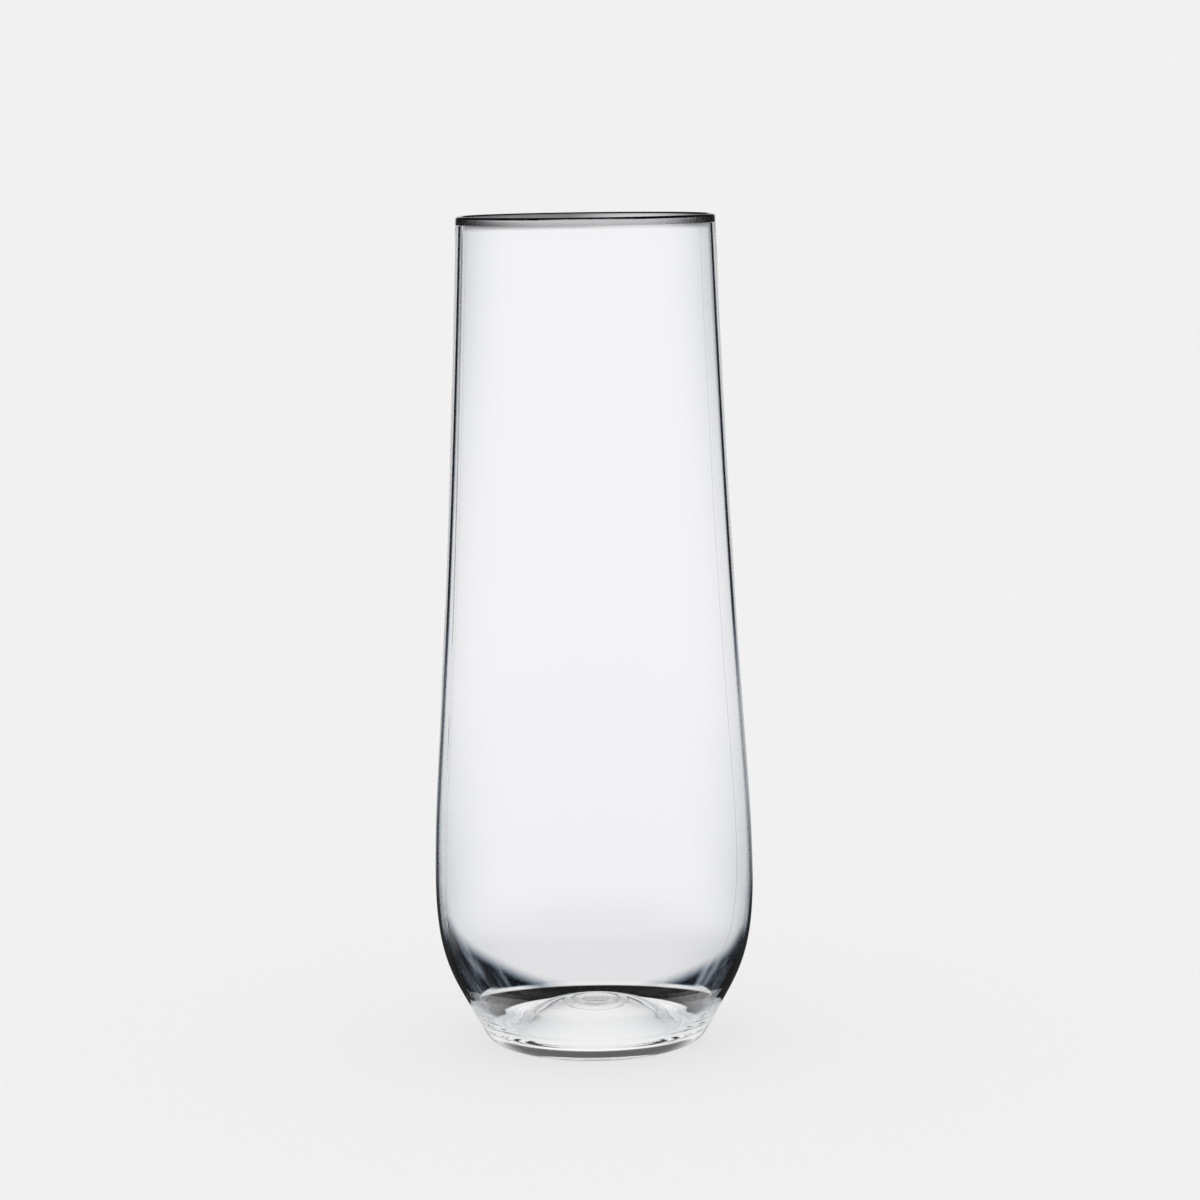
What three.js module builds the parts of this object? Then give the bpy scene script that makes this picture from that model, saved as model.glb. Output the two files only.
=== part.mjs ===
// Stemless champagne flute in clear plastic: a single blown moulding, divided at its feature lines.
// Millimetres, +Z up, origin at the centre of the plane that the flute stands on.
import * as THREE from 'three';

// Outside shape
const HEIGHT = 146;
const RIM_RADIUS = 22.6;
const RIM_TAPER = 2.1; // degrees that the wall leans out below the rim
const BELLY_RADIUS = 28.2;
const BELLY_HEIGHT = 30;
const CONE_TOP = 8.8; // where the round heel runs into the straight cone of the base
const CONE_ANGLE = 28.7; // degrees from upright
const CORNER_RADIUS = 19; // where the cone would meet the table
const CORNER_FILLET = 3;
const FOOT_WIDTH = 2.2; // flat ring that stands on the table

// Rim
const LIP_HEIGHT = 1.5;
const LIP_WALL = 0.95;

// Wall thicknesses
const RIM_WALL = 0.9;
const BELLY_WALL = 0.4;
const HEEL_WALL = 0.75;
const FOOT_WALL = 1.4;
const CROWN_WALL = 0.8;

// Push-up in the base, with the mark of the gate under its crown
const TROUGH_INSET = 0.72; // how far the lowest line of the floor lies inside the foot's outer edge
const PUNT_HEIGHT = 5.5;
const GATE_RADIUS = 3.2;
const GATE_DROP = 0.3;

// Fullness of the curves: how far each end's direction reaches, as a share of the curve's own span
const RIM_PULL = 0.76;
const BELLY_PULL = 0.17;
const SWELL_PULL = 0.515;
const CONE_PULL = 0.307;
const TROUGH_PULL = 0.6;
const FLOOR_PULL = 0.15;
const PUNT_POWER = 2.2;
const PUNT_EASE = 1.2;

// Fineness of the mesh
const SEGMENTS = 72;
const WALL_STEPS = 8;
const HEEL_STEPS = 10;
const FILLET_STEPS = 6;
const TROUGH_STEPS = 10;
const PUNT_STEPS = 12;
const GATE_STEPS = 3;
const LIP_STEPS = 8;

const radians = THREE.MathUtils.degToRad;
const mix = THREE.MathUtils.lerp;

function at(radius, height) {
  return new THREE.Vector2(radius, height);
}

// Point at a distance from a start, in a direction given as degrees outward from straight up
function along(start, degrees, distance) {
  const angle = radians(degrees);
  return at(start.x + distance * Math.sin(angle), start.y + distance * Math.cos(angle));
}

function curve(from, fromPull, toPull, to) {
  return new THREE.CubicBezierCurve(from, fromPull, toPull, to);
}

// Outside and inside points of a wall that follows a curve from top to bottom
function wallPoints(path, steps, thickness) {
  const outside = [];
  const inside = [];
  for (let i = 0; i <= steps; i += 1) {
    const share = i / steps;
    const point = path.getPoint(share);
    const tangent = path.getTangent(share);
    const wall = thickness(share);
    outside.push(point);
    inside.push(at(point.x + tangent.y * wall, point.y - tangent.x * wall));
  }
  return { outside, inside };
}

// Closed outline of a stretch of wall: up the outside, then down the inside
function wallOutline(points, first, last) {
  const outside = points.outside.slice(first, last + 1).reverse();
  const inside = points.inside.slice(first, last + 1);
  return [...outside, ...inside, outside[0]];
}

const plastic = {
  color: 0xf4f6f7,
  roughness: 0.05,
  metalness: 0,
  transparent: true,
  opacity: 0.35,
};

// Body turned about the upright axis from an outline of radius and height
function turned(name, outline) {
  const shape = new THREE.LatheGeometry(outline, SEGMENTS);
  shape.rotateX(Math.PI / 2);
  const mesh = new THREE.Mesh(shape, new THREE.MeshStandardMaterial(plastic));
  mesh.name = name;
  return mesh;
}

// Long wall, from under the lip to the widest place
const rim = at(RIM_RADIUS, HEIGHT);
const lipFoot = along(rim, 180 - RIM_TAPER, LIP_HEIGHT / Math.cos(radians(RIM_TAPER)));
const belly = at(BELLY_RADIUS, BELLY_HEIGHT);
const wallSpan = lipFoot.y - belly.y;
const wallCurve = curve(
  lipFoot,
  along(lipFoot, 180 - RIM_TAPER, RIM_PULL * wallSpan),
  along(belly, 0, BELLY_PULL * wallSpan),
  belly,
);
const wall = wallPoints(wallCurve, 2 * WALL_STEPS, (share) => mix(RIM_WALL, BELLY_WALL, share));

// Heel, from the widest place in to the cone, thickening downward
const coneTop = along(at(CORNER_RADIUS, 0), CONE_ANGLE, CONE_TOP / Math.cos(radians(CONE_ANGLE)));
const heelSpan = belly.y - coneTop.y;
const heelCurve = curve(
  belly,
  along(belly, 180, SWELL_PULL * heelSpan),
  along(coneTop, CONE_ANGLE, CONE_PULL * heelSpan),
  coneTop,
);
const heel = wallPoints(heelCurve, HEEL_STEPS, (share) => mix(BELLY_WALL, HEEL_WALL, share * share));

// Lip: full round on top, its inner face standing a little proud of the wall
const lipMiddle = at(RIM_RADIUS - LIP_WALL / 2, HEIGHT - LIP_WALL / 2);
const lipTop = [];
for (let i = 0; i <= LIP_STEPS; i += 1) {
  const angle = (Math.PI * i) / LIP_STEPS;
  const reach = LIP_WALL / 2;
  lipTop.push(at(lipMiddle.x + reach * Math.cos(angle), lipMiddle.y + reach * Math.sin(angle)));
}
const lipOutline = [wall.outside[0], ...lipTop, wall.inside[0], wall.outside[0]];

// Foot: flat standing ring, rounded corner and cone outside, round trough inside
const cornerTurn = radians(90 - CONE_ANGLE);
const cornerReach = CORNER_FILLET * Math.tan(cornerTurn / 2);
const footOuter = CORNER_RADIUS - cornerReach;
const footInner = footOuter - FOOT_WIDTH;
const corner = [];
for (let i = 0; i <= FILLET_STEPS; i += 1) {
  const angle = (cornerTurn * i) / FILLET_STEPS;
  const rise = CORNER_FILLET * (1 - Math.cos(angle));
  corner.push(at(footOuter + CORNER_FILLET * Math.sin(angle), rise));
}
const trough = at(footOuter - TROUGH_INSET, FOOT_WALL);
const heelEnd = heel.inside[HEEL_STEPS];
const troughSpan = heelEnd.distanceTo(trough);
const troughCurve = curve(
  heelEnd,
  along(heelEnd, 180 + CONE_ANGLE, TROUGH_PULL * troughSpan),
  along(trough, 90, FLOOR_PULL * troughSpan),
  trough,
);
const troughPoints = troughCurve.getPoints(TROUGH_STEPS);
const footEdge = at(footInner, 0);
const footOutline = [footEdge, ...corner, coneTop, ...troughPoints, footEdge];

// Push-up: the underside and the floor rise by the same law from the foot to the crown
function rise(share) {
  return Math.pow(1 - Math.pow(share, PUNT_POWER), PUNT_EASE);
}

function underside(radius) {
  return at(radius, PUNT_HEIGHT * rise(radius / footInner));
}

function floor(radius) {
  const crown = PUNT_HEIGHT + CROWN_WALL;
  return at(radius, mix(FOOT_WALL, crown, rise(radius / trough.x)));
}

const gateRoof = [];
for (let i = 0; i <= GATE_STEPS; i += 1) {
  gateRoof.push(underside((GATE_RADIUS * i) / GATE_STEPS));
}
const below = [...gateRoof];
const above = [];
for (let i = 1; i <= PUNT_STEPS; i += 1) {
  below.push(underside(mix(GATE_RADIUS, footInner, i / PUNT_STEPS)));
}
for (let i = 0; i <= PUNT_STEPS; i += 1) {
  above.push(floor(mix(trough.x, 0, i / PUNT_STEPS)));
}

// Gate mark: a low disc left under the crown
const gateFloor = gateRoof.map((point) => at(point.x, point.y - GATE_DROP));
const gateOutline = [...gateFloor, ...gateRoof.slice().reverse()];

const flute = new THREE.Group();
flute.name = 'champagne_flute';
flute.add(
  turned('rim_lip', lipOutline),
  turned('upper_wall', wallOutline(wall, 0, WALL_STEPS)),
  turned('lower_wall', wallOutline(wall, WALL_STEPS, 2 * WALL_STEPS)),
  turned('heel', wallOutline(heel, 0, HEEL_STEPS)),
  turned('foot_ring', footOutline),
  turned('punt_dome', [...below, ...above]),
  turned('gate_mark', gateOutline),
);

export default flute;
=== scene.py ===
import math

import bpy
import numpy as np
from mathutils import Matrix


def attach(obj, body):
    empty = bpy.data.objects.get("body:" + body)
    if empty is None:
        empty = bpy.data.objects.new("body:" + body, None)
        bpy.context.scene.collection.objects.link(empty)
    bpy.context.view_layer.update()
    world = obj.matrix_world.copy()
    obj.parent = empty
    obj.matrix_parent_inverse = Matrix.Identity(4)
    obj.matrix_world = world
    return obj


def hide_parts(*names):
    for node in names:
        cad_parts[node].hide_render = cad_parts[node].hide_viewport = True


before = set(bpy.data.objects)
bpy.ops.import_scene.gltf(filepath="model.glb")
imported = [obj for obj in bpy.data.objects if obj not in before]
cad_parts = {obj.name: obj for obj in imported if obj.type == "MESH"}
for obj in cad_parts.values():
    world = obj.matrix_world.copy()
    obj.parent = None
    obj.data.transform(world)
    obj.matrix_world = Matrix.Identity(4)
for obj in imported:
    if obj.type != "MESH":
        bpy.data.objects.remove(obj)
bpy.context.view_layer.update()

MM = 0.001

# Sizes of the flute in millimetres and degrees, as in the part's source
HEIGHT = 146.0
RIM_RADIUS = 22.6
RIM_TAPER = 2.1
BELLY_RADIUS = 28.2
BELLY_HEIGHT = 30.0
CONE_TOP = 8.8
CONE_ANGLE = 28.7
CORNER_RADIUS = 19.0
CORNER_FILLET = 3.0
FOOT_WIDTH = 2.2
LIP_HEIGHT = 1.5
LIP_WALL = 0.95
RIM_WALL = 0.9
BELLY_WALL = 0.4
HEEL_WALL = 0.75
TROUGH_INSET = 0.72
FOOT_WALL = 1.4
CROWN_WALL = 0.8
PUNT_HEIGHT = 5.5
GATE_RADIUS = 3.2
GATE_DROP = 0.3

# Fullness of the curves, as in the part's source
RIM_PULL = 0.76
BELLY_PULL = 0.17
SWELL_PULL = 0.515
CONE_PULL = 0.307
TROUGH_PULL = 0.6
FLOOR_PULL = 0.15
PUNT_POWER = 2.2
PUNT_EASE = 1.2

# Traces of the mould: the softened edge of the gate mark, a ring round it and two parting lines
GATE_EDGE_IN = 0.15
GATE_EDGE_OUT = 0.05
RING_RADIUS = 5.6
RING_DEPTH = 0.06
RING_WIDTH = 0.25
PARTING_ANGLE = 202.0
PARTING_HEIGHT = 0.025
PARTING_WIDTH = 0.22

# Fineness of the mesh
SEGMENTS = 256
CROWDING = 0.85  # how strongly the segments crowd towards the parting lines
WALL_STEPS = 64
HEEL_STEPS = 36
LIP_STEPS = 16
CORNER_STEPS = 14
CONE_STEPS = 7
FOOT_STEPS = 3
BEND_STEPS = 24
FLOOR_STEPS = 36
PUNT_STEPS = 33
RING_STEPS = 8
GATE_LOOPS = (0.0, 1.2, 2.4)  # radii of the loops of points inside the gate mark
CROWN_LOOPS = (4.2, 4.9)  # radii of the loops between the gate mark and its ring
BAND_LOOPS = (0.04, 0.1, 0.4, 0.7)  # shares of the way up the outside of the lip
MERGE_GAP = 1e-7  # metres within which the points at the seam and the poles become one

# Marks on the outline for the painted shades of the plastic, as pairs of a height and the mark's value
# there.
# Facing from which the heel has its painted dark wedges, and facing past which it is clear again above the
# foot
WEDGE = ((4.4, 0.18), (5, 0.21), (8, 0.33), (13, 0.54), (19, 0.74), (21, 0.82), (23, 2.0))
EBB = ((4.2, 0.2), (5, 0.43), (6, 0.52), (6.6, 1.3))
# Shares of the painted pale sheen low in the heel, and of the painted shade: the grey cone, the dark corner
# and the dark edge of the heel
SHEEN = ((5, 1), (7, 1), (10, 0.7), (11.5, 0))
CONE = ((2.6, 0), (8, 1), (9, 1), (10.5, 0))
TOE = ((2.6, 1), (4, 0))
BRINK = ((9, 0), (12, 1), (19.5, 1), (22.5, 0))
# Strength of the painted dark line along the edges of the wall, and depth of the painted soft shade beside
# it
LINE = ((24, 1), (33, 0.755), (44, 0.55), (61, 0.59), (75, 0.95), (80, 1))
DIM = (
    (10, 0.2), (24, 0.25), (31, 0.2), (41, 0.11), (59, 0.02),
    (77, 0.02), (95, 0.055), (112, 0.11), (130, 0.2), (146, 0.22))
NO_WEDGE = 2.0  # a facing that is never reached, for the rest of the outline

# Marks round the lip, as pairs of degrees from its outside over the top and the mark's value there: the
# painted dark band under the lip and the darker painted brow on top of it
BAND_TURN = ((0, 1), (157.5, 1), (165, 0))
BROW_TURN = ((0, 0), (12, 1), (150, 1), (157.5, 0))
BAND_SHARES = (0, 1, 1, 1)  # at the loops below the lip
MOUTH_POINTS = 3  # last points of the lip that belong to the mouth
HOLLOW_FADE = 11  # points below the heel over which the mark of the hollow fades

# Kinds of node that are used most
MATHS = "ShaderNodeMath"
VECTORS = "ShaderNodeVectorMath"
SPAN = "ShaderNodeMapRange"
MIX = "ShaderNodeMix"
SMOOTH = {"interpolation_type": "SMOOTHSTEP"}


def linear(hex_colour):
    """Linear RGBA of an sRGB hex colour."""
    parts = [int(hex_colour[i:i + 2], 16) / 255 for i in (1, 3, 5)]
    return [c / 12.92 if c <= 0.04045 else ((c + 0.055) / 1.055) ** 2.4 for c in parts] + [1.0]


def node(tree, kind, inputs=(), output=0, **settings):
    """Adds a node with its settings and inputs, and returns one of its outputs, or all of them for None.

    Inputs stand in the node's own order, or under their names. Each is a value or the output that feeds it.
    """
    made = tree.nodes.new(kind)
    for name, value in settings.items():
        setattr(made, name, value)
    keyed = inputs.items() if isinstance(inputs, dict) else enumerate(inputs)
    for key, value in keyed:
        if isinstance(value, bpy.types.NodeSocket):
            tree.links.new(value, made.inputs[key])
        else:
            made.inputs[key].default_value = value
    return made.outputs if output is None else made.outputs[output]


# Outline of the flute as radius and height, and the marks on it
def along(start, degrees, distance):
    """Point at a distance from a start, in degrees outward from straight up."""
    angle = math.radians(degrees)
    return np.array(start) + distance * np.array([math.sin(angle), math.cos(angle)])


def bezier(a, b, c, d, steps):
    """Points and directions of a cubic curve."""
    t = np.linspace(0, 1, steps + 1)[:, None]
    s = 1 - t
    points = s ** 3 * a + 3 * s * s * t * b + 3 * s * t * t * c + t ** 3 * d
    ways = s * s * (b - a) + 2 * s * t * (c - b) + t * t * (d - c)
    return points, ways / np.linalg.norm(ways, axis=1)[:, None]


def inward(points, ways, walls):
    """The points moved in across the wall, for a path that runs downward."""
    return points + np.c_[ways[:, 1], -ways[:, 0]] * walls[:, None]


def at(table, places):
    """Values at the places, between the pairs of a table."""
    return np.interp(places, *zip(*table))


def rise(share):
    """Share of the push-up's height at a share of its radius."""
    return (1 - share ** PUNT_POWER) ** PUNT_EASE


def wall_and_heel():
    """Wall from the lip to the cone, outside and inside, with its bores: inner radius by outer radius."""
    taper = 180 - RIM_TAPER
    lip_foot = along((RIM_RADIUS, HEIGHT), taper, LIP_HEIGHT / math.cos(math.radians(RIM_TAPER)))
    belly = np.array([BELLY_RADIUS, BELLY_HEIGHT])
    span = lip_foot[1] - belly[1]
    rim_pull = along(lip_foot, taper, RIM_PULL * span)
    belly_pull = along(belly, 0, BELLY_PULL * span)
    wall, wall_way = bezier(lip_foot, rim_pull, belly_pull, belly, WALL_STEPS)
    wall_thick = np.linspace(RIM_WALL, BELLY_WALL, WALL_STEPS + 1)

    cone_top = along((CORNER_RADIUS, 0), CONE_ANGLE, CONE_TOP / math.cos(math.radians(CONE_ANGLE)))
    span = belly[1] - cone_top[1]
    swell_pull = along(belly, 180, SWELL_PULL * span)
    cone_pull = along(cone_top, CONE_ANGLE, CONE_PULL * span)
    heel, heel_way = bezier(belly, swell_pull, cone_pull, cone_top, HEEL_STEPS)
    heel_thick = BELLY_WALL + (HEEL_WALL - BELLY_WALL) * np.linspace(0, 1, HEEL_STEPS + 1) ** 2

    bores = {
        "wall_out": (1 - wall_thick / wall[:, 0])[::-1][1:],
        "heel_out": (1 - heel_thick * np.abs(heel_way[:, 1]) / heel[:, 0])[::-1][1:]}
    return wall, inward(wall, wall_way, wall_thick), heel, inward(heel, heel_way, heel_thick), bores


def flute_stretches():
    """Stretches of the outline, from the middle of the underside round the outside and back down inside."""
    wall, wall_in, heel, heel_in, bores = wall_and_heel()

    reach = LIP_WALL / 2
    turn = np.linspace(0, math.pi, LIP_STEPS + 1)
    lip = np.c_[RIM_RADIUS - reach + reach * np.cos(turn), HEIGHT - reach + reach * np.sin(turn)]
    band = wall[0] + (lip[0] - wall[0]) * np.array(BAND_LOOPS)[:, None]

    corner_turn = math.radians(90 - CONE_ANGLE)
    foot_outer = CORNER_RADIUS - CORNER_FILLET * math.tan(corner_turn / 2)
    foot_inner = foot_outer - FOOT_WIDTH
    turn = np.linspace(0, corner_turn, CORNER_STEPS + 1)
    corner = np.c_[foot_outer + CORNER_FILLET * np.sin(turn), CORNER_FILLET * (1 - np.cos(turn))]

    trough = np.array([foot_outer - TROUGH_INSET, FOOT_WALL])
    span = np.linalg.norm(heel_in[-1] - trough)
    trough_pull = along(heel_in[-1], 180 + CONE_ANGLE, TROUGH_PULL * span)
    floor_pull = along(trough, 90, FLOOR_PULL * span)
    bend, _ = bezier(heel_in[-1], trough_pull, floor_pull, trough, BEND_STEPS)

    gate_edge = (GATE_RADIUS - GATE_EDGE_IN, GATE_RADIUS, GATE_RADIUS + GATE_EDGE_OUT)
    ring = RING_RADIUS + RING_WIDTH * np.linspace(-1, 1, RING_STEPS + 1)
    slope = np.linspace(RING_RADIUS + 2 * RING_WIDTH, foot_inner, PUNT_STEPS + 1)
    radius = np.r_[GATE_LOOPS, gate_edge, CROWN_LOOPS, ring, slope]
    height = PUNT_HEIGHT * rise(radius / foot_inner)
    height -= GATE_DROP * np.interp(radius, [0, gate_edge[0], gate_edge[2]], [1, 1, 0])
    height += RING_DEPTH * np.exp(-((radius - RING_RADIUS) / (RING_WIDTH / 2)) ** 2)
    under = np.c_[radius, height]

    radius = np.linspace(trough[0], 0, FLOOR_STEPS + 1)
    crown = PUNT_HEIGHT + CROWN_WALL
    floor = np.c_[radius, FOOT_WALL + (crown - FOOT_WALL) * rise(radius / trough[0])]

    stretches = {
        "under": under,
        "foot": np.linspace(under[-1], corner[0], FOOT_STEPS + 1)[1:-1],
        "corner": corner,
        "cone": np.linspace(corner[-1], heel[-1], CONE_STEPS + 1)[1:],
        "heel_out": heel[::-1][1:],
        "wall_out": wall[::-1][1:],
        "band": band,
        "lip": lip,
        "wall_in": wall_in,
        "heel_in": heel_in[1:],
        "bend": bend[1:],
        "floor": floor[1:]}
    return stretches, bores


def outline_marks(stretches, bores):
    """Marks at the outline's points, by the stretch and the height that each point lies at."""
    counts = [len(stretch) for stretch in stretches.values()]
    owner = np.repeat(list(stretches), counts)
    height = np.vstack(list(stretches.values()))[:, 1]
    outer = np.isin(owner, ("corner", "cone", "heel_out", "wall_out", "band", "lip"))
    lower = np.isin(owner, ("heel_in", "bend"))
    turn = np.linspace(0, 180, LIP_STEPS + 1)
    fade = np.clip(1 - np.arange(BEND_STEPS) / HOLLOW_FADE, 0, 1)
    lip_end = np.arange(LIP_STEPS + 1) > LIP_STEPS - MOUTH_POINTS
    wall_start = np.arange(WALL_STEPS + 1) < 1

    def spread(values):
        """One value for each point, from the values given for some stretches, and 0 elsewhere."""
        return np.concatenate([np.broadcast_to(values.get(k, 0.0), len(s)) for k, s in stretches.items()])

    return {
        "skin": spread({"cone": 1, "heel_out": 1, "wall_out": 1}),
        "hollow": spread({"wall_in": 1, "heel_in": 1, "bend": fade}),
        "wedge": np.where(lower, at(WEDGE, height), NO_WEDGE),
        "ebb": lower * at(EBB, height),
        "sheen": lower * at(SHEEN, height),
        "cone": outer * at(CONE, height),
        "toe": outer * at(TOE, height),
        "brink": outer * at(BRINK, height),
        "band": spread({"band": BAND_SHARES, "lip": at(BAND_TURN, turn)}),
        "brow": spread({"lip": at(BROW_TURN, turn)}),
        "mouth": spread({"lip": lip_end, "wall_in": wall_start}),
        "bore": spread(bores),
        "line": at(LINE, height),
        "dim": at(DIM, height)}


stretches, bores = flute_stretches()
points = np.vstack(list(stretches.values()))
marks = outline_marks(stretches, bores)
outline_mesh = bpy.data.meshes.new("flute_outline")
edges = [(i, i + 1) for i in range(len(points) - 1)]
outline_mesh.from_pydata([(r * MM, 0, z * MM) for r, z in points], edges, [])
for name, values in marks.items():
    outline_mesh.attributes.new(name, "FLOAT", "POINT").data.foreach_set("value", values)
flute = bpy.data.objects.new("flute_shell", outline_mesh)
bpy.context.scene.collection.objects.link(flute)

# Clear PET, stretched and blown in a polished mould. It is bright and nearly colourless, with faint waves
# in its skin. Its darker edges, heel and lip are painted shade in its base colour, set by how edge on the
# wall is seen, which stands in for the dark surroundings that a clear wall shows. A painted shade is 0 where
# the wall is clear and 1 where it is black. Facing is 0 where the wall is seen square on and 1 where it is
# seen edge on. A lean makes a painted shade darker on the side of -X. Sizes are in millimetres.
PET_IOR = 1.57
WAVE_SIZE = 14.0
WAVE_HEIGHT = 0.02
WAVE_DETAIL = 1.0
FACING_BLEND = 0.5  # makes facing 1 less the cosine of the sight's slant
SHADE_BLUE_POWERS = (2.2, 2.0, 1.8)  # powers of red, green and blue, which leave the painted shade slightly blue

# Painted soft shade inside the hollow, which starts sooner where the mark "dim" is high
CAVITY_LOW = 0.82
CAVITY_SPREAD = 0.65
CAVITY_HIGH = 0.94
SOFT_FACING = (0.15, 0.85)

# Painted thin dark line where the sight grazes the hollow, in shares of the inner radius
STRIP_START = (0.99, 1.0)
STRIP_END = (1.009, 1.016)
STRIP_LEAN = 0.53
BORE_LEAST = 0.5  # keeps the division safe where there is no bore
BORE_OF_WALL = 0.8  # the mark "bore" is above it on the wall and the heel alone

# Painted dark wedges at both sides of the heel, with paler painted streaks and a painted pale sheen
WEDGE_LEAN = 0.08
WEDGE_EDGE = (-0.08, 0.08)
WEDGE_DARK = 0.995
WEDGE_PALE = 0.6
EBB_EDGE = (-0.06, 0.06)
STREAK_SIZE = 4.0
STREAK_DETAIL = 3.0
STREAK_RISE = 0.3  # below 1, which draws the streaks out upward
STREAK_SPAN = (0.45, 0.75)
SHEEN_FACING = (0.55, 0.85)
SHEEN_LIGHT = 0.17

# Painted shades that are a mark times a span of the facing: the mark, the span's two ends and the shade at
# each
FOOT_SHADES = (
    ("cone", 0.2, 0.5, 0.0, 0.28),
    ("toe", 0.8, 0.95, 0.0, 0.9),
    ("brink", 0.58, 0.74, 0.0, 0.94))
LIP_SHADES = (
    ("band", 0.03, 0.75, 0.42, 1.0),
    ("brow", 0.0, 0.12, 0.0, 1.0))

# Painted shade of the mouth, on the inner face of the lip
MOUTH_LEAN = 0.5
MOUTH_MARK = (0.7, 1.0)
MOUTH_FACING = (-0.3, 0.1)
MOUTH_DARK = 0.8


def cavity_shade(tree, facing, mark):
    """Painted soft shade towards the edges of the hollow."""
    start = node(tree, MATHS, (mark["dim"], -CAVITY_SPREAD, CAVITY_LOW), operation="MULTIPLY_ADD")
    steep = node(tree, SPAN, (facing, start, CAVITY_HIGH, 0.0, 1.0), **SMOOTH)
    soft = node(tree, SPAN, (facing, *SOFT_FACING, 0.0, mark["dim"]), **SMOOTH)
    shade = node(tree, MATHS, (steep, soft), operation="MAXIMUM")
    return node(tree, MATHS, (shade, mark["hollow"]), operation="MULTIPLY")


def strip_shade(tree, across, facing, mark):
    """Painted thin dark line along each edge, where the sine of the sight's slant is the bore."""
    other = node(tree, MATHS, (2.0, facing), operation="SUBTRACT")
    square = node(tree, MATHS, (facing, other), operation="MULTIPLY")
    slant = node(tree, MATHS, (square,), operation="SQRT")
    bore = node(tree, MATHS, (mark["bore"], BORE_LEAST), operation="MAXIMUM")
    graze = node(tree, MATHS, (slant, bore), operation="DIVIDE")
    shade = node(tree, SPAN, (graze, *STRIP_START, 0.0, 1.0), **SMOOTH)
    shade = node(tree, SPAN, (graze, *STRIP_END, shade, 0.0), **SMOOTH)
    wall = node(tree, MATHS, (mark["bore"], BORE_OF_WALL), operation="GREATER_THAN")
    shade = node(tree, MATHS, (shade, wall), operation="MULTIPLY")
    # A lean makes the painted line darker on the side of -X
    lean = node(tree, MATHS, (across, STRIP_LEAN / (BELLY_RADIUS * MM), 1.0), operation="MULTIPLY_ADD")
    loss = node(tree, MATHS, (mark["line"], 1.0), operation="SUBTRACT")
    line = node(tree, MATHS, (loss, lean, 1.0), operation="MULTIPLY_ADD")
    return node(tree, MATHS, (shade, line), operation="MULTIPLY")


def heel_shade(tree, place, across, facing, mark):
    """Painted dark wedges that end at the ebb above the foot, with painted streaks that run up the heel and
    a painted pale sheen low in it.
    """
    level = node(tree, VECTORS, (place, (1.0, 1.0, 0.0)), operation="MULTIPLY")
    round_axis = node(tree, VECTORS, (level,), operation="NORMALIZE")
    upward = node(tree, VECTORS, (place, (0.0, 0.0, STREAK_RISE)), operation="MULTIPLY")
    belly = (BELLY_RADIUS * MM, BELLY_RADIUS * MM, 0.0)
    streaks = node(tree, VECTORS, (round_axis, belly, upward), operation="MULTIPLY_ADD")
    streaks = node(tree, "ShaderNodeTexNoise", {
        "Vector": streaks, "Scale": 1 / (STREAK_SIZE * MM), "Detail": STREAK_DETAIL}, "Fac")
    streaks = node(tree, SPAN, (streaks, *STREAK_SPAN, WEDGE_DARK, WEDGE_PALE), **SMOOTH)

    # Facing with a lean, so that the painted wedges are darker on the side of -X
    leaned_facing = node(tree, MATHS, (across, -WEDGE_LEAN / (BELLY_RADIUS * MM), facing), operation="MULTIPLY_ADD")
    over = node(tree, MATHS, (leaned_facing, mark["wedge"]), operation="SUBTRACT")
    shade = node(tree, SPAN, (over, *WEDGE_EDGE, 0.0, streaks), **SMOOTH)
    short = node(tree, MATHS, (mark["ebb"], facing), operation="SUBTRACT")
    shade = node(tree, SPAN, (short, *EBB_EDGE, 0.0, shade), **SMOOTH)
    pale = node(tree, SPAN, (facing, *SHEEN_FACING, 0.0, SHEEN_LIGHT), **SMOOTH)
    pale = node(tree, MATHS, (mark["sheen"], pale), operation="MULTIPLY")
    kept = node(tree, MATHS, (1.0, pale), operation="SUBTRACT")
    return node(tree, MATHS, (shade, kept), operation="MULTIPLY")


def mouth_shade(tree, across, facing, mark):
    """Painted shade of the lip's inner face."""
    # Facing with a lean, so that the painted shade of the mouth is darker on the side of -X
    leaned_facing = node(tree, MATHS, (across, -MOUTH_LEAN / (RIM_RADIUS * MM), facing), operation="MULTIPLY_ADD")
    dark = node(tree, SPAN, (mark["mouth"], *MOUTH_MARK, 0.0, MOUTH_DARK), **SMOOTH)
    return node(tree, SPAN, (leaned_facing, *MOUTH_FACING, 0.0, dark), **SMOOTH)


def marked_shades(tree, facing, mark, table):
    """Painted shades of a table of marks and spans of the facing."""
    shades = []
    for name, *span in table:
        shade = node(tree, SPAN, (facing, *span), **SMOOTH)
        shades.append(node(tree, MATHS, (mark[name], shade), operation="MULTIPLY"))
    return shades


def let_through(tree, shades):
    """Share of the light that all the painted shades together leave."""
    share = 1.0
    for shade in shades:
        left = node(tree, MATHS, (1.0, shade), operation="SUBTRACT")
        share = node(tree, MATHS, (share, left), operation="MULTIPLY")
    return share


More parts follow.
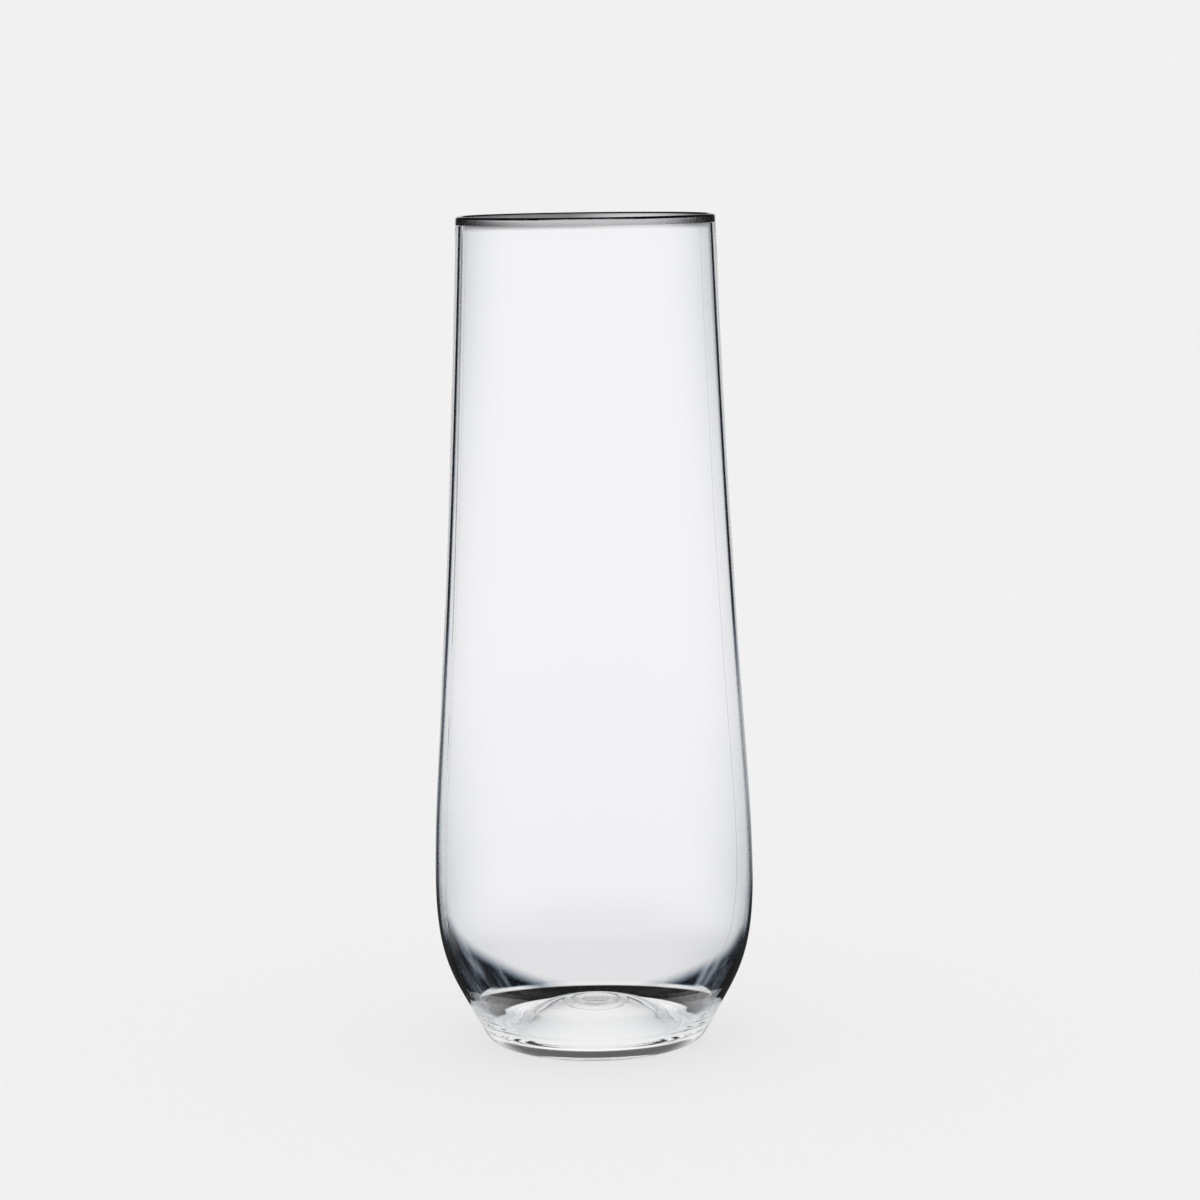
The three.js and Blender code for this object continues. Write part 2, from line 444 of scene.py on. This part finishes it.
def clear_blown_pet():
    made = bpy.data.materials.new("clear_blown_pet")
    made.use_nodes = True
    tree = made.node_tree
    place = node(tree, "ShaderNodeTexCoord", output="Object")
    across = node(tree, "ShaderNodeSeparateXYZ", (place,), "X")
    facing = node(tree, "ShaderNodeLayerWeight", {"Blend": FACING_BLEND}, "Facing")
    behind = node(tree, "ShaderNodeNewGeometry", output="Backfacing")
    mark = {
        name: node(tree, "ShaderNodeAttribute", output="Fac", attribute_name=name)
        for name in marks if name != "skin"}

    cavity = cavity_shade(tree, facing, mark)
    strip = strip_shade(tree, across, facing, mark)
    heel = heel_shade(tree, place, across, facing, mark)
    clear = let_through(tree, [cavity, strip, heel, *marked_shades(tree, facing, mark, FOOT_SHADES)])
    mouth = mouth_shade(tree, across, facing, mark)
    rim = let_through(tree, [*marked_shades(tree, facing, mark, LIP_SHADES), mouth])

    # The painted shades darken the base colour of front faces, slightly blue where dark, with the lip's
    # counted twice; back faces stay white
    tint = node(tree, "ShaderNodeCombineXYZ", [
        node(tree, MATHS, (clear, power), operation="POWER") for power in SHADE_BLUE_POWERS])
    rim = node(tree, MATHS, (rim, rim), operation="MULTIPLY")
    tint = node(tree, VECTORS, {"Vector": tint, "Scale": rim}, operation="SCALE")
    tint = node(tree, MIX, {0: behind, 6: tint, 7: linear("#FFFFFF")}, 2, data_type="RGBA")
    waves = node(tree, "ShaderNodeTexNoise", {
        "Vector": place, "Scale": 1 / (WAVE_SIZE * MM), "Detail": WAVE_DETAIL}, "Fac")
    skin = node(tree, "ShaderNodeBump", {
        "Strength": 1.0, "Distance": WAVE_HEIGHT * MM, "Height": waves}, "Normal")

    shader = tree.nodes["Principled BSDF"]
    shader.inputs["Roughness"].default_value = 0.0
    shader.inputs["IOR"].default_value = PET_IOR
    shader.inputs["Transmission Weight"].default_value = 1.0
    tree.links.new(tint, shader.inputs["Base Color"])
    tree.links.new(skin, shader.inputs["Normal"])
    return made


# The outline turned about the upright axis; the segments crowd towards the two parting lines of the mould
def turning_tree():
    tree = bpy.data.node_groups.new("turned_shell", "GeometryNodeTree")
    face = tree.interface
    face.new_socket("Geometry", in_out="INPUT", socket_type="NodeSocketGeometry")
    face.new_socket("Segments", in_out="INPUT", socket_type="NodeSocketInt")
    for name in ("Crowding", "Parting Angle", "Parting Height", "Parting Width"):
        face.new_socket(name, in_out="INPUT", socket_type="NodeSocketFloat")
    face.new_socket("Material", in_out="INPUT", socket_type="NodeSocketMaterial")
    face.new_socket("Geometry", in_out="OUTPUT", socket_type="NodeSocketGeometry")
    sizes = node(tree, "NodeGroupInput", output=None)
    outline = sizes["Geometry"]

    # Grid with a column for each point of the outline and a row for each angle
    count = node(tree, "GeometryNodeAttributeDomainSize", {"Geometry": outline}, "Point Count")
    rows = node(tree, MATHS, (sizes["Segments"], 1.0), operation="ADD")
    grid = node(tree, "GeometryNodeMeshGrid", {"Vertices X": count, "Vertices Y": rows}, "Mesh")
    index = node(tree, "GeometryNodeInputIndex")
    middle = node(tree, MATHS, (index, 0.5), operation="ADD")
    column = node(tree, MATHS, (middle, rows), operation="DIVIDE")
    step = node(tree, MATHS, (column,), operation="FLOOR")
    passed = node(tree, MATHS, (step, rows), operation="MULTIPLY")
    row = node(tree, MATHS, (index, passed), operation="SUBTRACT")

    # Angle of each row
    share = node(tree, MATHS, (row, sizes["Segments"]), operation="DIVIDE")
    even = node(tree, MATHS, (share, math.tau), operation="MULTIPLY")
    off = node(tree, MATHS, (even, sizes["Parting Angle"]), operation="SUBTRACT")
    double = node(tree, MATHS, (off, 2.0), operation="MULTIPLY")
    swing = node(tree, MATHS, (double,), operation="SINE")
    half = node(tree, MATHS, (sizes["Crowding"], 0.5), operation="MULTIPLY")
    pull = node(tree, MATHS, (swing, half), operation="MULTIPLY")
    angle = node(tree, MATHS, (even, pull), operation="SUBTRACT")

    # Place on the outline, and the marks there
    place = node(tree, "GeometryNodeInputPosition")
    spot = node(tree, "GeometryNodeSampleIndex", {
        "Geometry": outline, "Value": place, "Index": step}, data_type="FLOAT_VECTOR", domain="POINT")
    spot = node(tree, "ShaderNodeSeparateXYZ", (spot,), None)
    found = {}
    for name in marks:
        named = node(tree, "GeometryNodeInputNamedAttribute", {"Name": name}, data_type="FLOAT")
        found[name] = node(tree, "GeometryNodeSampleIndex", {
            "Geometry": outline, "Value": named, "Index": step}, data_type="FLOAT", domain="POINT")

    # Low ridge along the parting lines, on the outer skin alone
    from_line = node(tree, MATHS, (angle, sizes["Parting Angle"]), operation="SUBTRACT")
    side = node(tree, MATHS, (from_line,), operation="SINE")
    aside = node(tree, MATHS, (spot["X"], side), operation="MULTIPLY")
    widths = node(tree, MATHS, (aside, sizes["Parting Width"]), operation="DIVIDE")
    square = node(tree, MATHS, (widths, 2.0), operation="POWER")
    fall = node(tree, MATHS, (square, -1.0), operation="MULTIPLY")
    bell = node(tree, MATHS, (fall,), operation="EXPONENT")
    ridge = node(tree, MATHS, (bell, sizes["Parting Height"]), operation="MULTIPLY")
    radius = node(tree, MATHS, (ridge, found["skin"], spot["X"]), operation="MULTIPLY_ADD")

    cosine = node(tree, MATHS, (angle,), operation="COSINE")
    sine = node(tree, MATHS, (angle,), operation="SINE")
    x = node(tree, MATHS, (radius, cosine), operation="MULTIPLY")
    y = node(tree, MATHS, (radius, sine), operation="MULTIPLY")
    turned = node(tree, "ShaderNodeCombineXYZ", (x, y, spot["Z"]))
    shell = node(tree, "GeometryNodeSetPosition", {"Geometry": grid, "Position": turned})
    for name, value in found.items():
        if name != "skin":
            shell = node(tree, "GeometryNodeStoreNamedAttribute", {
                "Geometry": shell, "Name": name, "Value": value}, data_type="FLOAT", domain="POINT")

    # Closed at the seam and the poles, with its faces outward
    shell = node(tree, "GeometryNodeMergeByDistance", {"Geometry": shell, "Distance": MERGE_GAP})
    shell = node(tree, "GeometryNodeFlipFaces", {"Mesh": shell})
    shell = node(tree, "GeometryNodeSetShadeSmooth", {"Geometry": shell})
    shell = node(tree, "GeometryNodeRealizeInstances", {"Geometry": shell})
    shell = node(tree, "GeometryNodeSetMaterial", {"Geometry": shell, "Material": sizes["Material"]})
    node(tree, "NodeGroupOutput", {"Geometry": shell}, None)
    return tree


def apply_tree(piece, tree, values):
    """Runs the tree on the piece with its inputs set, and keeps the result as a plain mesh."""
    modifier = piece.modifiers.new(tree.name, "NODES")
    modifier.node_group = tree
    for item in tree.interface.items_tree:
        if item.in_out == "INPUT" and item.name in values:
            modifier[item.identifier] = values[item.name]
    result = bpy.data.meshes.new_from_object(piece.evaluated_get(bpy.context.evaluated_depsgraph_get()))
    piece.modifiers.clear()
    piece.data = result


apply_tree(flute, turning_tree(), {
    "Segments": SEGMENTS,
    "Crowding": CROWDING,
    "Parting Angle": math.radians(PARTING_ANGLE),
    "Parting Height": PARTING_HEIGHT * MM,
    "Parting Width": PARTING_WIDTH * MM,
    "Material": clear_blown_pet()})

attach(flute, "root")
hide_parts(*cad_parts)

# Stage: pale paper under an even light. The camera sees the plain page with a faint shadow. The clear wall
# shows a light tent, as such ware is photographed in: a bright page under the base, a painted shadow ring
# round the foot on the paper, seen only through the wall, and a dark roof. Mirrored light is light that the
# inside of the wall has reflected on its way.
PAGE = linear("#F1F1F1")
PAPER_COLOUR = linear("#898989")
PAPER_GLOW = 0.75  # what the paper gives by itself, so that the shadow stays faint
PAPER_TOP = 0.01  # a hair above the standing plane, so that the foot and the paper touch
PAPER_NEAR = 30.0
PAPER_FAR = 5000.0
PAPER_SIDES = 64
ANY = 0.5  # limit between none and one, for the counts of a light path
MIRRORED_OFTEN = 2.5  # count of reflections past which the light is even
OFTEN_LIGHT = 0.9

# The page through the wall, in millimetres from the axis. The dark ring round the foot and the foot's dark
# line are painted shadow on the paper, seen only through the wall
UNDER_LIGHT = 1.0
OUTER_LIGHT = 0.965
MEET_LIGHT = 1.0
DARK_RING_INNER = (19.6, 20.3)
DARK_RING_OUTER = (26.5, 27.5)
DARK_RING_LIGHT = 0.01
FOOT_LINE_INNER = (13.3, 13.8)
FOOT_LINE_OUTER = (18.3, 18.7)
FOOT_LINE_DEPTH = (-12.0, -3.0)  # along Y, the line fades from the first to the second
FOOT_LINE_LIGHT = 0.09
GLOSS_PAGE_LIGHT = 0.6  # the page in the gloss of the outside

# The tent, by how far a direction points up, or to the back for the panel's side
ROOF = (math.sin(math.radians(5)), math.sin(math.radians(16)))
HAZE = (-0.15, 0.45)
ROOF_LIGHT = 0.02
WALL_FOOT = (-0.2, -0.13)
WALL_FOOT_LIGHT = 0.94
WALL_LIGHT = 0.98
BELT_TOP = (-0.42, -0.3)
BELT_FOOT = (-0.95, -0.85)
GLOSS_LIGHT = 0.05
PANEL_SIDE = (0.93, 0.985)
PANEL_FOOT = (-0.225, -0.2)
PANEL_LIGHT = 0.9


# Matt paper: an even pale page that takes a soft shadow; through the wall it shows a painted shadow ring
# and line round the foot
def pale_paper():
    made = bpy.data.materials.new("pale_paper")
    made.use_nodes = True
    tree = made.node_tree
    shader = tree.nodes["Principled BSDF"]
    shader.inputs["Base Color"].default_value = PAPER_COLOUR
    shader.inputs["Roughness"].default_value = 1.0
    shader.inputs["Specular IOR Level"].default_value = 0.0
    shader.inputs["Emission Color"].default_value = PAGE
    shader.inputs["Emission Strength"].default_value = PAPER_GLOW

    path = node(tree, "ShaderNodeLightPath", output=None)
    place = node(tree, "ShaderNodeTexCoord", output="Object")
    place = node(tree, VECTORS, {"Vector": place, "Scale": 1 / MM}, operation="SCALE")
    reach = node(tree, VECTORS, (place,), "Value", operation="LENGTH")
    depth = node(tree, "ShaderNodeSeparateXYZ", (place,), "Y")

    # Bright page, with the painted shadow ring for light that comes straight and the foot's painted shadow
    # line for mirrored light
    beyond = node(tree, SPAN, (reach, *DARK_RING_INNER, 0.0, 1.0), **SMOOTH)
    outer = node(tree, SPAN, (reach, DARK_RING_OUTER[0], PAPER_NEAR, OUTER_LIGHT, MEET_LIGHT), **SMOOTH)
    tone = node(tree, MIX, {"Factor": beyond, "A": UNDER_LIGHT, "B": outer})
    ring = node(tree, SPAN, (reach, *DARK_RING_OUTER, beyond, 0.0), **SMOOTH)
    ring = node(tree, SPAN, (ring, 0.0, 1.0, 1.0, DARK_RING_LIGHT))
    line = node(tree, SPAN, (reach, *FOOT_LINE_INNER, 0.0, 1.0), **SMOOTH)
    line = node(tree, SPAN, (reach, *FOOT_LINE_OUTER, line, 0.0), **SMOOTH)
    line = node(tree, SPAN, (depth, *FOOT_LINE_DEPTH, line, 0.0), **SMOOTH)
    line = node(tree, SPAN, (line, 0.0, 1.0, 1.0, FOOT_LINE_LIGHT))
    straight = node(tree, MATHS, (path["Glossy Depth"], ANY), operation="LESS_THAN")
    shade = node(tree, MIX, {"Factor": straight, "A": line, "B": ring})
    light = node(tree, MATHS, (tone, shade), operation="MULTIPLY")
    often = node(tree, MATHS, (path["Glossy Depth"], MIRRORED_OFTEN), operation="GREATER_THAN")
    light = node(tree, MIX, {"Factor": often, "A": light, "B": OFTEN_LIGHT})

    # The wall shows that page, and its gloss an even one; the camera and bounced light see the plain paper
    direct = node(tree, MATHS, (path["Diffuse Depth"], ANY), operation="LESS_THAN")
    through = node(tree, MATHS, (path["Transmission Depth"], ANY), operation="GREATER_THAN")
    through = node(tree, MATHS, (through, direct), operation="MULTIPLY")
    gloss = node(tree, MATHS, (path["Is Glossy Ray"], direct), operation="MULTIPLY")
    light = node(tree, MIX, {"Factor": through, "A": GLOSS_PAGE_LIGHT, "B": light})
    white = node(tree, "ShaderNodeEmission", {"Color": linear("#FFFFFF"), "Strength": light})
    tented = node(tree, MATHS, (through, gloss), operation="MAXIMUM")
    seen = node(tree, "ShaderNodeMixShader", (tented, shader.outputs[0], white))
    tree.links.new(seen, tree.nodes["Material Output"].inputs["Surface"])
    return made


def light_tent():
    made = bpy.data.worlds.new("light_tent")
    made.use_nodes = True
    tree = made.node_tree
    way = node(tree, "ShaderNodeTexCoord", output="Generated")
    way = node(tree, "ShaderNodeSeparateXYZ", (way,), None)
    path = node(tree, "ShaderNodeLightPath", output=None)

    # Through the wall: a bright tent under a dark roof, with a dark belt below for mirrored light
    roof = node(tree, SPAN, (way["Z"], *ROOF, 1.0, ROOF_LIGHT), **SMOOTH)
    haze = node(tree, SPAN, (way["Z"], *HAZE, 1.0, ROOF_LIGHT), **SMOOTH)
    above = node(tree, SPAN, (way["Z"], *BELT_TOP, 0.0, 1.0), **SMOOTH)
    below = node(tree, SPAN, (way["Z"], *BELT_FOOT, 1.0, 0.0), **SMOOTH)
    belt = node(tree, MATHS, (above, below), operation="MAXIMUM")
    belt = node(tree, MATHS, (belt, haze), operation="MULTIPLY")
    straight = node(tree, MATHS, (path["Glossy Depth"], ANY), operation="LESS_THAN")
    tent = node(tree, MIX, {"Factor": straight, "A": belt, "B": roof})
    wall = node(tree, SPAN, (way["Z"], *WALL_FOOT, WALL_FOOT_LIGHT, WALL_LIGHT), **SMOOTH)
    tent = node(tree, MATHS, (tent, wall), operation="MULTIPLY")
    often = node(tree, MATHS, (path["Glossy Depth"], MIRRORED_OFTEN), operation="GREATER_THAN")
    tent = node(tree, MIX, {"Factor": often, "A": tent, "B": OFTEN_LIGHT})

    # In the gloss of the outside: the page below, a bright panel at the back and dark elsewhere
    page = node(tree, SPAN, (way["Z"], *BELT_FOOT, PAGE[0], GLOSS_LIGHT), **SMOOTH)
    panel = node(tree, SPAN, (way["Y"], *PANEL_SIDE, 0.0, PANEL_LIGHT), **SMOOTH)
    panel = node(tree, SPAN, (way["Z"], *PANEL_FOOT, 0.0, panel), **SMOOTH)
    mirrored = node(tree, MATHS, (page, panel), operation="MAXIMUM")

    direct = node(tree, MATHS, (path["Diffuse Depth"], ANY), operation="LESS_THAN")
    through = node(tree, MATHS, (path["Is Transmission Ray"], direct), operation="MULTIPLY")
    gloss = node(tree, MATHS, (path["Is Glossy Ray"], path["Is Transmission Ray"]), operation="SUBTRACT")
    gloss = node(tree, MATHS, (gloss, direct), operation="MULTIPLY")
    light = node(tree, MIX, {"Factor": through, "A": PAGE[0], "B": tent})
    light = node(tree, MIX, {"Factor": gloss, "A": light, "B": mirrored})
    hue = node(tree, MIX, {0: through, 6: linear("#FFFFFF"), 7: linear("#FDFDFF")}, 2, data_type="RGBA")
    tree.links.new(hue, tree.nodes["Background"].inputs["Color"])
    tree.links.new(light, tree.nodes["Background"].inputs["Strength"])
    return made


# The page in two sheets, because only the near one shows through the wall
paper = pale_paper()
turns = [math.tau * i / PAPER_SIDES for i in range(PAPER_SIDES)]
near = [(math.cos(a) * PAPER_NEAR * MM, math.sin(a) * PAPER_NEAR * MM, PAPER_TOP * MM) for a in turns]
far = [(math.cos(a) * PAPER_FAR * MM, math.sin(a) * PAPER_FAR * MM, PAPER_TOP * MM) for a in turns]
paper_near = bpy.data.meshes.new("paper_near")
paper_near.from_pydata(near, [], [range(PAPER_SIDES)])
pairs = [(i, (i + 1) % PAPER_SIDES) for i in range(PAPER_SIDES)]
paper_far = bpy.data.meshes.new("paper_far")
paper_far.from_pydata(near + far, [], [(i, i + PAPER_SIDES, j + PAPER_SIDES, j) for i, j in pairs])
for sheet in (paper_near, paper_far):
    sheet.materials.append(paper)
    laid = bpy.data.objects.new(sheet.name, sheet)
    bpy.context.scene.collection.objects.link(laid)
    laid.visible_transmission = sheet is paper_near
    laid.visible_glossy = sheet is paper_near

# Camera at the photograph's place, in millimetres and degrees
LENS = 102.2
SENSOR = 36
CAMERA_PLACE = (1.68, -594.47, 158.51)
CAMERA_PITCH = 7.662
CAMERA_ROLL = 0.767
CLIP_NEAR = 0.01  # metres
CLIP_FAR = 50

# Bounces, many because clear walls stand one behind another
WALL_BOUNCES = 32
GLOSS_BOUNCES = 12

camera = bpy.data.cameras.new("camera")
camera.lens = LENS
camera.sensor_width = SENSOR
camera.clip_start = CLIP_NEAR
camera.clip_end = CLIP_FAR
view = bpy.data.objects.new("camera", camera)
bpy.context.scene.collection.objects.link(view)
view.matrix_world = (
    Matrix.Translation([c * MM for c in CAMERA_PLACE])
    @ Matrix.Rotation(math.radians(90 - CAMERA_PITCH), 4, "X")
    @ Matrix.Rotation(math.radians(-CAMERA_ROLL), 4, "Z"))

scene = bpy.context.scene
scene.camera = view
scene.world = light_tent()
scene.view_settings.view_transform = "Standard"
scene.cycles.max_bounces = WALL_BOUNCES
scene.cycles.transmission_bounces = WALL_BOUNCES
scene.cycles.glossy_bounces = GLOSS_BOUNCES
